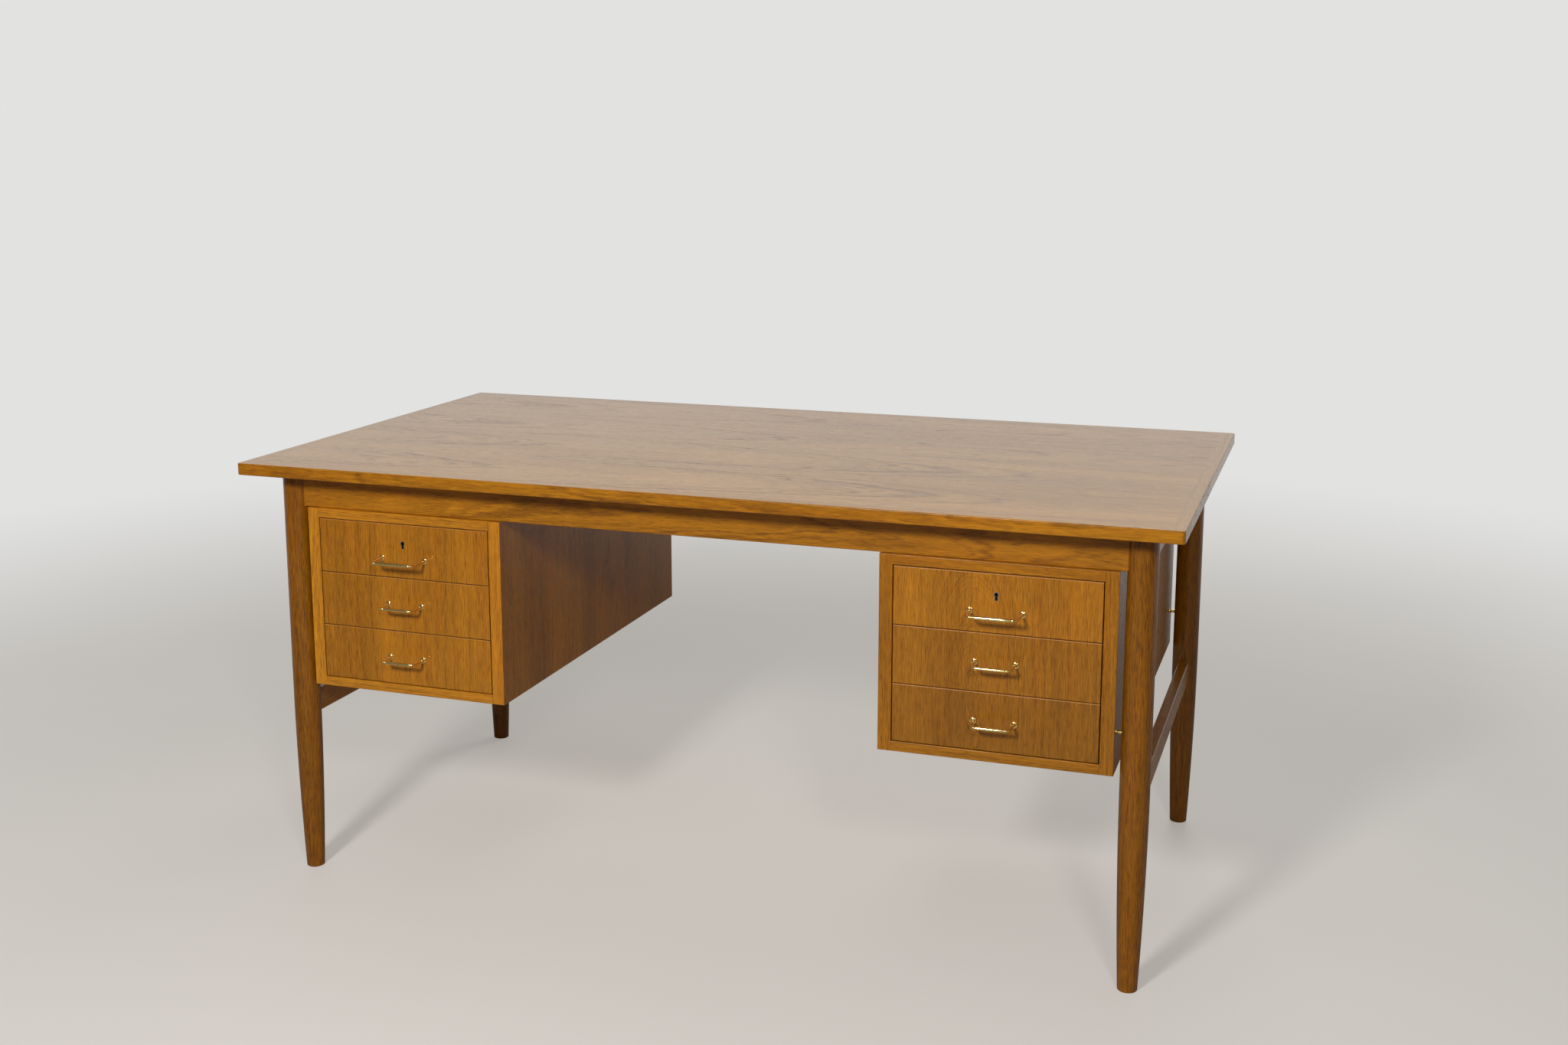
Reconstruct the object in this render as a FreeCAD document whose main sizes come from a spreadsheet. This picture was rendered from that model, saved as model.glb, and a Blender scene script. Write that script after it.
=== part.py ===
"""Oak executive desk: a framed top on turned legs, with two hanging pedestals of three drawers each.

X runs along the desk, Y from the drawer side to the back, Z up. The origin is on the floor,
under the middle of the top. Lengths are in millimetres.
"""
import FreeCAD
import Part
import Sketcher
import math
import os
import re

SIZES = {
    # The whole desk and its top
    "desk_length": 1550,
    "desk_depth": 840,
    "desk_height": 730,
    "top_thickness": 20,
    "lipping_width": 20,
    "lipping_rounding": 2,
    "corner_rounding": 5,
    # Turned legs, set in from the edges of the top
    "leg_inset_end": 65,
    "leg_inset_front": 73,
    "leg_top_diameter": 44.8,
    "leg_belly_diameter": 45.2,
    "leg_belly_height": 330,
    "leg_foot_diameter": 30.5,
    "foot_rounding": 2,
    "leg_grain_turn": 45,
    # Rails under the top and stretchers between the front and rear legs
    "rail_height": 60,
    "rail_thickness": 20,
    "rail_rounding": 1.5,
    "rail_end_gap": 0.5,
    "stretcher_height": 40,
    "stretcher_thickness": 18,
    "stretcher_rise": 277,
    "stretcher_rounding": 2,
    "stretcher_seat": 12,
    # Glue blocks that hold the top on the rails
    "block_length": 60,
    "block_width": 22,
    "block_height": 20,
    # Pedestals hung under the rails
    "pedestal_gap": 7.8,
    "pedestal_width": 360,
    "pedestal_proud": 7,
    "pedestal_height": 310,
    "side_thickness": 21,
    "shelf_thickness": 16,
    "back_thickness": 12,
    "pedestal_rounding": 1.2,
    "spacer_diameter": 6,
    "spacer_rise": 64,
    "spacer_seat": 12,
    "hanger_shank": 4.5,
    "hanger_head": 9,
    "hanger_sink": 4,
    "hanger_length": 46,
    "hanger_inset": 60,
    # Drawers
    "drawer_gap": 1.5,
    "front_thickness": 18,
    "front_rounding": 1,
    "drawer_back_room": 66,
    "drawer_board": 10,
    "drawer_board_height": 68,
    "drawer_board_rise": 10,
    "drawer_back_drop": 5,
    "bottom_thickness": 5,
    "bottom_rise": 8,
    "bottom_groove": 4,
    # Runners in the grooves of the drawer sides
    "runner_back_room": 97.5,
    "runner_height": 12,
    "runner_grip": 5,
    "runner_rise": 24,
    "runner_rest_gap": 0.3,
    "runner_under_gap": 0.7,
    "runner_depth_gap": 0.5,
    "runner_end_gap": 0.5,
    "groove_stop": 40,
    # Brass handles, larger on the top drawers
    "top_handle_span": 80,
    "top_handle_reach": 38,
    "top_handle_rise": 32,
    "low_handle_span": 62.5,
    "low_handle_reach": 32,
    "handle_taper": 3,
    "handle_rod": 4.4,
    "top_handle_grip": 6.8,
    "low_handle_grip": 5.6,
    "grip_taper": 14,
    "knuckle_swell": 0.3,
    "bead_diameter": 6.2,
    "bead_inset": 5,
    "flange_diameter": 11,
    "flange_thickness": 2,
    "collar_diameter": 7.4,
    "collar_length": 5,
    "collar_lip": 1,
    "handle_screw_shank": 3.4,
    "handle_screw_head": 8,
    "handle_screw_head_height": 2.4,
    "handle_screw_bite": 5,
    # Locks in the top drawers
    "keyhole_rise": 59,
    "keyhole_diameter": 6,
    "keyhole_slot": 3.6,
    "keyhole_drop": 9,
    "liner_wall": 0.9,
    "lock_width": 44,
    "lock_height": 52,
    "lock_depth": 9,
    "lock_wall": 1.5,
    "key_pin": 2.6,
    "key_room": 20,
    "bolt_width": 20,
    "bolt_length": 24,
    "bolt_sink": 0.3,
    "bolt_clearance": 0.3,
    "bolt_travel": 8,
    "strike_clearance": 0.6,
    # How far a cut runs past the face that it opens
    "overrun": 5,
}

# Where the glue blocks sit along the front and rear rails, from the middle, as shares of half the rail
BLOCK_SHARES = (-0.7, 0.0, 0.7)

# Which way each side and end lies from the middle of the desk
SIDE_SHARES = {"left": -1, "right": 1}
END_SHARES = {"front": -1, "rear": 1}

# How near an edge lies to the place looked for, as a share of its board
NEAR_SHARE = 0.01

TIERS = ("bottom", "middle", "top")

# Places that several pieces share, as formulas of the sizes
LEG_X = "(desk_length/2 - leg_inset_end)"
LEG_Y = "(desk_depth/2 - leg_inset_front)"
TOP_UNDERSIDE = "(desk_height - top_thickness)"
RAIL_BOTTOM = f"({TOP_UNDERSIDE} - rail_height)"
RAIL_END = "(rail_thickness/2 + rail_end_gap)"
PEDESTAL_OUTER = f"({LEG_X} - leg_belly_diameter/2 - pedestal_gap)"
PEDESTAL_MIDDLE = f"({PEDESTAL_OUTER} - pedestal_width/2)"
PEDESTAL_BOTTOM = f"({RAIL_BOTTOM} - pedestal_height)"
PEDESTAL_REAR = f"({LEG_Y} + rail_thickness/2 + pedestal_proud)"
PEDESTAL_FRONT = f"(-{PEDESTAL_REAR})"
BACK_INNER_FACE = f"({PEDESTAL_REAR} - back_thickness)"
OPENING_HALF = "(pedestal_width/2 - side_thickness)"
OPENING_HEIGHT = "(pedestal_height - 2*shelf_thickness)"
FRONT_HEIGHT = f"(({OPENING_HEIGHT} - 4*drawer_gap)/3)"
DRAWER_HALF = f"({OPENING_HALF} - drawer_gap)"
DRAWER_INSIDE_HALF = f"({DRAWER_HALF} - drawer_board)"
FRONT_BACK_FACE = f"({PEDESTAL_FRONT} + front_thickness)"
DRAWER_REAR = f"({BACK_INNER_FACE} - drawer_back_room)"
GROOVE_FRONT = f"({FRONT_BACK_FACE} + groove_stop)"
LOCK_FRONT = f"({FRONT_BACK_FACE} - lock_depth)"

WORD = re.compile(r"[a-z_]+")

doc = FreeCAD.newDocument("desk")
sheet = doc.addObject("Spreadsheet::Sheet", "Sizes")
for row, (alias, value) in enumerate(SIZES.items(), start=1):
    sheet.set(f"A{row}", alias)
    sheet.set(f"B{row}", str(value))
    sheet.setAlias(f"B{row}", alias)
doc.recompute()

pieces = []


def size(alias):
    """The number that the sheet holds under this name."""
    return float(sheet.get(alias))


def formula(words):
    """A formula in size names, written so that it reads the sheet."""
    return WORD.sub(lambda found: f"Sizes.{found[0]}" if found[0] in SIZES else found[0], words)


def bind(thing, setting, words):
    """Ties one setting of an object to a formula of the sizes."""
    thing.setExpression(setting, formula(words))


def place(thing, corner):
    """Ties an object's position to three formulas."""
    for axis, words in zip("xyz", corner):
        bind(thing, f"Placement.Base.{axis}", words)


def turn(thing, corner, yaw, roll):
    """Ties an object's position and its turn about Z, after a turn about X, to formulas."""
    spot = "; ".join(formula(words) for words in corner)
    angles = f"{formula(yaw)}; 0; {formula(roll)}"
    thing.setExpression("Placement", f"placement(vector({spot}); rotation({angles}))")


def finish(thing, label):
    """Keeps an object as a finished piece under the name of its file."""
    thing.Label = label
    pieces.append(thing)
    return thing


def plane(body, role):
    """One of a body's own origin planes."""
    return next(feature for feature in body.Origin.OriginFeatures if feature.Role == role)


def sketch_on(body, role):
    """An empty sketch on one of a body's origin planes."""
    sketch = body.newObject("Sketcher::SketchObject", f"{body.Name}_sketch")
    sketch.AttachmentSupport = [(plane(body, role), "")]
    sketch.MapMode = "FlatFace"
    return sketch


def limit(sketch, kind, words, *ends):
    """A sketch dimension tied to a formula. It starts from the distance as drawn."""
    gap = sketch.getPoint(*ends[2:]) - sketch.getPoint(*ends[:2])
    drawn = gap.x if kind == "DistanceX" else gap.y
    number = sketch.addConstraint(Sketcher.Constraint(kind, *ends, drawn))
    bind(sketch, f"Constraints[{number}]", words)


def join(sketch, count):
    """Joins the end of each drawn line or arc to the start of the next, all the way round."""
    for number in range(count):
        sketch.addConstraint(Sketcher.Constraint("Coincident", number, 2, (number + 1) % count, 1))


def eased(body, base, radius, wanted):
    """Rounds those edges of a body that the test picks by their middle and direction."""
    doc.recompute()
    box = base.Shape.BoundBox
    names = []
    for number, edge in enumerate(base.Shape.Edges, start=1):
        middle = edge.CenterOfMass
        reach = (
            (middle.x - box.XMin) / box.XLength,
            (middle.y - box.YMin) / box.YLength,
            (middle.z - box.ZMin) / box.ZLength,
        )
        if wanted(*reach):
            names.append(f"Edge{number}")
    fillet = body.newObject("PartDesign::Fillet", f"{body.Name}_easing")
    fillet.Base = (base, names)
    bind(fillet, "Radius", radius)
    return fillet


def board(name, corner, extent, easings=()):
    """A sawn board: a rectangle padded upwards from its lowest corner, with some edges eased."""
    body = doc.addObject("PartDesign::Body", name)
    sketch = sketch_on(body, "XY_Plane")
    corners = [FreeCAD.Vector(*spot, 0) for spot in ((0, 0), (1, 0), (1, 1), (0, 1))]
    for start, end in zip(corners, corners[1:] + corners[:1]):
        sketch.addGeometry(Part.LineSegment(start, end))
    join(sketch, len(corners))
    for number, kind in enumerate(("Horizontal", "Vertical", "Horizontal", "Vertical")):
        sketch.addConstraint(Sketcher.Constraint(kind, number))
    sketch.addConstraint(Sketcher.Constraint("Coincident", 0, 1, -1, 1))
    limit(sketch, "DistanceX", extent[0], 0, 1, 0, 2)
    limit(sketch, "DistanceY", extent[1], 1, 1, 1, 2)
    last = body.newObject("PartDesign::Pad", f"{name}_pad")
    last.Profile = sketch
    bind(last, "Length", extent[2])
    for radius, wanted in easings:
        last = eased(body, last, radius, wanted)
    place(body, corner)
    return body


def block(name, corner, extent):
    """A plain rectangular block."""
    box = doc.addObject("Part::Box", name)
    for setting, words in zip(("Length", "Width", "Height"), extent):
        bind(box, setting, words)
    place(box, corner)
    return box


def rod(name, corner, diameter, length, yaw="0", roll="0"):
    """A round bar that starts at a point. It stands upright unless it is turned."""
    bar = doc.addObject("Part::Cylinder", name)
    bind(bar, "Radius", f"{diameter}/2")
    bind(bar, "Height", length)
    turn(bar, corner, yaw, roll)
    return bar


def ball(name, diameter):
    """A plain ball about its own middle."""
    whole = doc.addObject("Part::Sphere", name)
    bind(whole, "Radius", f"{diameter}/2")
    return whole


def cut(name, base, *tools):
    """A piece with the space of other pieces taken out of it, one after the other."""
    for number, tool in enumerate(tools):
        step = doc.addObject("Part::Cut", f"{name}_cut_{number}")
        step.Base = base
        step.Tool = tool
        base = step
    return base


def fuse(name, *shapes):
    """Several solids made into one."""
    whole = doc.addObject("Part::MultiFuse", name)
    whole.Shapes = list(shapes)
    return whole


def group(label, *members):
    """Separate solids that share one file."""
    together = doc.addObject("Part::Compound", label)
    together.Links = list(members)
    return finish(together, label)


def from_left(side, low, width):
    """The left end of a span that starts at a distance from the middle of the desk, on one side."""
    return f"({low})" if side == "right" else f"(-({low}) - ({width}))"


def table_top():
    """The veneered panel and the solid lipping round its four edges."""
    panel = board(
        "table_top_panel",
        ("lipping_width - desk_length/2", "lipping_width - desk_depth/2", TOP_UNDERSIDE),
        ("desk_length - 2*lipping_width", "desk_depth - 2*lipping_width", "top_thickness"),
    )
    finish(panel, "table_top")
    strips = []
    for end, sign in END_SHARES.items():
        outer = 0 if end == "front" else 1

        def corner_edge(x, y, z):
            return x in (0, 1) and abs(y - outer) < NEAR_SHARE and z not in (0, 1)

        def rim_edge(x, y, z):
            return z in (0, 1) and abs(y - (1 - outer)) > NEAR_SHARE

        strips.append(
            board(
                f"{end}_lipping",
                ("-desk_length/2", f"{sign}*desk_depth/2 - {outer}*lipping_width", TOP_UNDERSIDE),
                ("desk_length", "lipping_width", "top_thickness"),
                (("corner_rounding", corner_edge), ("lipping_rounding", rim_edge)),
            )
        )
    for side, sign in SIDE_SHARES.items():
        outer = 0 if side == "left" else 1

        def long_edge(x, y, z):
            return z in (0, 1) and abs(x - outer) < NEAR_SHARE

        left_end = f"{sign}*desk_length/2 - {outer}*lipping_width"
        strips.append(
            board(
                f"{side}_lipping",
                (left_end, "lipping_width - desk_depth/2", TOP_UNDERSIDE),
                ("lipping_width", "desk_depth - 2*lipping_width", "top_thickness"),
                (("lipping_rounding", long_edge),),
            )
        )
    group("top_lipping", *strips)


def rails(hangers):
    """The four rails under the top. Their ends are housed in the legs."""
    made = {}
    for end, sign in END_SHARES.items():
        made[end] = board(
            f"{end}_rail_board",
            (f"{RAIL_END} - {LEG_X}", f"{sign}*{LEG_Y} - rail_thickness/2", RAIL_BOTTOM),
            (f"2*({LEG_X} - {RAIL_END})", "rail_thickness", "rail_height"),
            (("rail_rounding", lambda x, y, z: z == 0 and y in (0, 1)),),
        )
        screws = [screw for side in SIDE_SHARES for screw in hangers[side, end]]
        finish(cut(f"{end}_rail", made[end], *screws), f"{end}_rail")
    for side, sign in SIDE_SHARES.items():
        made[side] = board(
            f"{side}_rail_board",
            (f"{sign}*{LEG_X} - rail_thickness/2", f"{RAIL_END} - {LEG_Y}", RAIL_BOTTOM),
            ("rail_thickness", f"2*({LEG_Y} - {RAIL_END})", "rail_height"),
            (("rail_rounding", lambda x, y, z: z == 0 and x in (0, 1)),),
        )
    group("side_rails", made["left"], made["right"])
    return made


def stretchers():
    """The two low bars between the front and rear legs."""
    seat = "(leg_belly_diameter/2 - stretcher_seat)"
    made = {}
    for side, sign in SIDE_SHARES.items():
        made[side] = board(
            f"{side}_stretcher_bar",
            (f"{sign}*{LEG_X} - stretcher_thickness/2", f"{seat} - {LEG_Y}", "stretcher_rise"),
            ("stretcher_thickness", f"2*({LEG_Y} - {seat})", "stretcher_height"),
            (("stretcher_rounding", lambda x, y, z: x in (0, 1) and z in (0, 1)),),
        )
    group("side_stretchers", made["left"], made["right"])
    return made


def spacers():
    """The brass pins that hold each pedestal off its legs, one at every leg."""
    made = {}
    low = f"({PEDESTAL_OUTER} - spacer_seat)"
    length = "(pedestal_gap + 2*spacer_seat)"
    for side in SIDE_SHARES:
        for end, sign in END_SHARES.items():
            start = (from_left(side, low, length), f"{sign}*{LEG_Y}", f"{PEDESTAL_BOTTOM} + spacer_rise")
            made[side, end] = rod(f"{side}_{end}_spacer", start, "spacer_diameter", length, "90", "90")
    group("brass_spacers", *made.values())
    return made


def leg_blank(name):
    """A turned leg: it swells to its belly, narrows a little to the top and tapers to a small foot."""
    body = doc.addObject("PartDesign::Body", name)
    sketch = sketch_on(body, "XZ_Plane")
    foot = size("leg_foot_diameter") / 2
    belly = size("leg_belly_diameter") / 2
    head = size("leg_top_diameter") / 2
    rounding = size("foot_rounding")
    waist = size("leg_belly_height")
    crown = size("desk_height") - size("top_thickness")

    def point(across, up):
        return FreeCAD.Vector(across, up, 0)

    sole = point(foot - rounding, 0)
    ankle = point(foot, rounding)
    widest = point(belly, waist)
    shoulder = point(head, crown)
    circle = Part.Circle(point(foot - rounding, rounding), FreeCAD.Vector(0, 0, 1), rounding)
    calf = point(belly, (rounding + waist) / 2)
    thigh = point(belly, (waist + crown) / 2)
    sketch.addGeometry(Part.LineSegment(point(0, 0), sole))
    sketch.addGeometry(Part.ArcOfCircle(circle, -math.pi / 2, 0))
    for poles in ((ankle, calf, widest), (widest, thigh, shoulder)):
        sketch.addGeometry(Part.BSplineCurve(poles, None, None, False, 2, None, False))
    sketch.addGeometry(Part.LineSegment(shoulder, point(0, crown)))
    sketch.addGeometry(Part.LineSegment(point(0, crown), point(0, 0)))
    join(sketch, 6)
    sketch.addConstraint(Sketcher.Constraint("Coincident", 0, 1, -1, 1))
    for line in (0, 4):
        sketch.addConstraint(Sketcher.Constraint("Horizontal", line))
    sketch.addConstraint(Sketcher.Constraint("Vertical", 5))
    limit(sketch, "DistanceX", "leg_foot_diameter/2 - foot_rounding", -1, 1, 0, 2)
    limit(sketch, "DistanceX", "leg_foot_diameter/2", -1, 1, 1, 2)
    limit(sketch, "DistanceY", "foot_rounding", -1, 1, 1, 2)
    sketch.addConstraint(Sketcher.Constraint("Vertical", 1, 1, 1, 3))
    limit(sketch, "DistanceX", "leg_belly_diameter/2", -1, 1, 2, 2)
    limit(sketch, "DistanceY", "leg_belly_height", -1, 1, 2, 2)
    limit(sketch, "DistanceX", "leg_top_diameter/2", -1, 1, 3, 2)
    limit(sketch, "DistanceY", TOP_UNDERSIDE, -1, 1, 3, 2)
    middles = ("(foot_rounding + leg_belly_height)/2", f"(leg_belly_height + {TOP_UNDERSIDE})/2")
    for curve, height in zip((2, 3), middles):
        pole = sketch.GeometryCount + 1
        sketch.exposeInternalGeometry(curve)
        limit(sketch, "DistanceX", "leg_belly_diameter/2", -1, 1, pole, 3)
        limit(sketch, "DistanceY", height, -1, 1, pole, 3)
    turned = body.newObject("PartDesign::Revolution", f"{name}_turning")
    turned.Profile = sketch
    turned.ReferenceAxis = (sketch, ["V_Axis"])
    return body


def legs(rail, stretcher, spacer):
    """The four legs, with housings for the rails, the stretchers and the brass pins."""
    for side, across in SIDE_SHARES.items():
        for end, along in END_SHARES.items():
            blank = leg_blank(f"{end}_{side}_leg_blank")
            turn(blank, (f"{across}*{LEG_X}", f"{along}*{LEG_Y}", "0"), "leg_grain_turn", "0")
            tools = (rail[end], rail[side], stretcher[side], spacer[side, end])
            finish(cut(f"{end}_{side}_leg", blank, *tools), f"{end}_{side}_leg")


def top_blocks():
    """Glue blocks in the corner between the rails and the top."""
    made = []
    lengthways = ("block_length", "block_width", "block_height")
    crossways = ("block_width", "block_length", "block_height")
    height = f"{TOP_UNDERSIDE} - block_height"
    for end, sign in END_SHARES.items():
        inner = "rail_thickness/2" if end == "front" else "(-rail_thickness/2 - block_width)"
        for number, share in enumerate(BLOCK_SHARES):
            start = (f"{share}*{LEG_X} - block_length/2", f"{sign}*{LEG_Y} + {inner}", height)
            made.append(block(f"{end}_block_{number}", start, lengthways))
    for side in SIDE_SHARES:
        across = from_left(side, f"{LEG_X} - rail_thickness/2 - block_width", "block_width")
        start = (across, "-block_length/2", height)
        made.append(block(f"{side}_block", start, crossways))
    group("top_blocks", *made)


def hanger_screws():
    """The countersunk screws that hang the pedestals from the front and rear rails."""
    made = {}
    under = f"({RAIL_BOTTOM} - shelf_thickness)"
    for side, across in SIDE_SHARES.items():
        for end, along in END_SHARES.items():
            made[side, end] = []
            for number, inset in enumerate((-1, 1)):
                offset = f"{inset}*(pedestal_width/2 - hanger_inset)"
                start = (f"{across}*{PEDESTAL_MIDDLE} + {offset}", f"{along}*{LEG_Y}", under)
                name = f"{side}_{end}_hanger_{number}"
                head = doc.addObject("Part::Cone", f"{name}_head")
                bind(head, "Radius1", "hanger_head/2")
                bind(head, "Radius2", "hanger_shank/2")
                bind(head, "Height", "hanger_sink")
                place(head, start)
                shank = rod(f"{name}_shank", start, "hanger_shank", "hanger_length")
                made[side, end].append(fuse(name, head, shank))
    group("pedestal_screws", *(screw for screws in made.values() for screw in screws))
    return made


def pedestal(side, spacer, hangers, strike):
    """One hanging carcass: two full-height sides with the shelves and the back board between them."""
    sign = SIDE_SHARES[side]
    front_edges = (("pedestal_rounding", lambda x, y, z: y == 0),)
    for part_name, span in (("outer", "side_thickness"), ("inner", "pedestal_width")):
        low = from_left(side, f"{PEDESTAL_OUTER} - {span}", "side_thickness")
        panel = board(
            f"{side}_{part_name}_side_panel",
            (low, PEDESTAL_FRONT, PEDESTAL_BOTTOM),
            ("side_thickness", f"2*{PEDESTAL_REAR}", "pedestal_height"),
            front_edges,
        )
        label = f"{side}_{part_name}_side"
        if part_name == "outer":
            panel = cut(label, panel, *(spacer[side, end] for end in END_SHARES))
        finish(panel, label)
    left_end = f"{sign}*{PEDESTAL_MIDDLE} - {OPENING_HALF}"
    shelf = (f"2*{OPENING_HALF}", f"2*{PEDESTAL_REAR}", "shelf_thickness")
    lip = (("pedestal_rounding", lambda x, y, z: y == 0 and z in (0, 1)),)
    top_corner = (left_end, PEDESTAL_FRONT, f"{RAIL_BOTTOM} - shelf_thickness")
    top = board(f"{side}_top_shelf", top_corner, shelf, lip)
    screws = [screw for end in END_SHARES for screw in hangers[side, end]]
    finish(cut(f"{side}_pedestal_top", top, *screws, strike), f"{side}_pedestal_top")
    bottom = board(f"{side}_bottom_shelf", (left_end, PEDESTAL_FRONT, PEDESTAL_BOTTOM), shelf, lip)
    finish(bottom, f"{side}_pedestal_bottom")
    back = block(
        f"{side}_back_board",
        (left_end, BACK_INNER_FACE, f"{PEDESTAL_BOTTOM} + shelf_thickness"),
        (f"2*{OPENING_HALF}", "back_thickness", OPENING_HEIGHT),
    )
    finish(back, f"{side}_pedestal_back")


def front_bottom(tier):
    """The height of a drawer front's lower edge."""
    return (
        f"({PEDESTAL_BOTTOM} + shelf_thickness + drawer_gap"
        f" + {TIERS.index(tier)}*({FRONT_HEIGHT} + drawer_gap))"
    )


def runner_top(tier):
    """The height of the runners' upper face beside a drawer."""
    return f"({front_bottom(tier)} + drawer_board_rise + runner_rise)"


def drawer_runners():
    """The hardwood strips on the carcass sides that the drawers slide on."""
    made = []
    grip = "(drawer_gap + runner_grip)"
    front = f"({GROOVE_FRONT} + runner_end_gap)"
    length = f"({BACK_INNER_FACE} - runner_back_room - {front})"
    for side, sign in SIDE_SHARES.items():
        for tier in TIERS:
            for hand, offset in (("left", f"-{OPENING_HALF}"), ("right", f"{OPENING_HALF} - {grip}")):
                start = (f"{sign}*{PEDESTAL_MIDDLE} + {offset}", front, f"{runner_top(tier)} - runner_height")
                made.append(block(f"{side}_{tier}_{hand}_runner", start, (grip, length, "runner_height")))
    group("drawer_runners", *made)


def handle(name, middle, height, kind):
    """A brass pull: two collared flanges, two arms that lean in, and a turned grip with end beads."""
    span = f"{kind}_handle_span"
    reach = f"{kind}_handle_reach"
    lean = f"atan(handle_taper/{reach})"
    arm_length = f"sqrt(handle_taper^2 + {reach}^2)"
    bar_y = f"{PEDESTAL_FRONT} - {reach}"
    half = f"({span}/2 - handle_taper)"
    solids = []
    for hand, sign in SIDE_SHARES.items():
        foot = (f"{middle} + {sign}*{span}/2", PEDESTAL_FRONT, height)
        tip = (f"{middle} + {sign}*{half}", bar_y, height)
        flange = rod(f"{name}_{hand}_flange", foot, "flange_diameter", "flange_thickness", "0", "90")
        collar = doc.addObject("Part::Cone", f"{name}_{hand}_collar")
        bind(collar, "Radius1", "collar_diameter/2")
        bind(collar, "Radius2", "handle_rod/2 + collar_lip")
        bind(collar, "Height", "collar_length")
        turn(collar, (foot[0], f"{PEDESTAL_FRONT} - flange_thickness", height), "0", "90")
        arm = rod(f"{name}_{hand}_arm", foot, "handle_rod", arm_length, f"-({sign})*{lean}", "90")
        knuckle = ball(f"{name}_{hand}_knuckle", "(handle_rod + 2*knuckle_swell)")
        place(knuckle, tip)
        bead = ball(f"{name}_{hand}_bead", "bead_diameter")
        turn(bead, (f"{middle} + {sign}*({half} - bead_inset)", bar_y, height), "90", "90")
        solids += [flange, collar, arm, knuckle, bead]
    solids.append(grip(f"{name}_grip", (middle, bar_y, height), half, f"{kind}_handle_grip"))
    screws = [
        handle_screw(f"{name}_{hand}_screw", f"{middle} + {sign}*{span}/2", height)
        for hand, sign in SIDE_SHARES.items()
    ]
    pull = fuse(f"{name}_pull", *solids)
    group(name, cut(f"{name}_tapped", pull, *screws), *screws)
    return screws


def grip(name, middle, half, thickness):
    """The turned bar of a handle: a thick middle that tapers to a slim rod at both ends."""
    body = doc.addObject("PartDesign::Body", name)
    sketch = sketch_on(body, "XY_Plane")
    reach = size("low_handle_span") / 2
    flat = reach - size("grip_taper")
    thin = size("handle_rod") / 2
    thick = size(thickness) / 2
    outline = ((-reach, 0), (reach, 0), (reach, thin), (flat, thick), (-flat, thick), (-reach, thin))
    spots = [FreeCAD.Vector(*spot, 0) for spot in outline]
    for first, second in zip(spots, spots[1:] + spots[:1]):
        sketch.addGeometry(Part.LineSegment(first, second))
    join(sketch, len(spots))
    sketch.addConstraint(Sketcher.Constraint("Vertical", 1))
    sketch.addConstraint(Sketcher.Constraint("Horizontal", 3))
    sketch.addConstraint(Sketcher.Constraint("Vertical", 5))
    sketch.addConstraint(Sketcher.Constraint("PointOnObject", 0, 1, -1))
    sketch.addConstraint(Sketcher.Constraint("PointOnObject", 0, 2, -1))
    limit(sketch, "DistanceX", half, -1, 1, 0, 2)
    limit(sketch, "DistanceX", half, 0, 1, -1, 1)
    limit(sketch, "DistanceY", "handle_rod/2", 1, 1, 1, 2)
    limit(sketch, "DistanceY", "handle_rod/2", 5, 2, 5, 1)
    limit(sketch, "DistanceY", f"{thickness}/2", -1, 1, 3, 1)
    limit(sketch, "DistanceX", "grip_taper", 3, 1, 2, 1)
    limit(sketch, "DistanceX", "grip_taper", 4, 2, 3, 2)
    turned = body.newObject("PartDesign::Revolution", f"{name}_turning")
    turned.Profile = sketch
    turned.ReferenceAxis = (sketch, ["H_Axis"])
    place(body, middle)
    return body


def handle_screw(name, across, height):
    """A screw through the drawer front into one foot of a handle, put in from inside the drawer."""
    head = rod(
        f"{name}_head",
        (across, f"{FRONT_BACK_FACE} + handle_screw_head_height", height),
        "handle_screw_head",
        "handle_screw_head_height",
        "0",
        "90",
    )
    length = "front_thickness + handle_screw_bite"
    shank = rod(f"{name}_shank", (across, FRONT_BACK_FACE, height), "handle_screw_shank", length, "0", "90")
    return fuse(name, head, shank)


def keyhole(name, middle, height, wall, front, length):
    """A keyhole-shaped prism: a round head with a slot that drops to a round end."""
    diameter = f"(keyhole_diameter + 2*{wall})"
    head = rod(f"{name}_head", (middle, front, height), diameter, length, "0", "-90")
    width = f"(keyhole_slot + 2*{wall})"
    drop = "(keyhole_drop - keyhole_slot/2)"
    corner = (f"{middle} - {width}/2", front, f"{height} - {drop}")
    slot = block(f"{name}_slot", corner, (width, length, drop))
    end = rod(f"{name}_end", (middle, front, f"{height} - {drop}"), width, length, "0", "-90")
    return fuse(name, head, slot, end)


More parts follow.
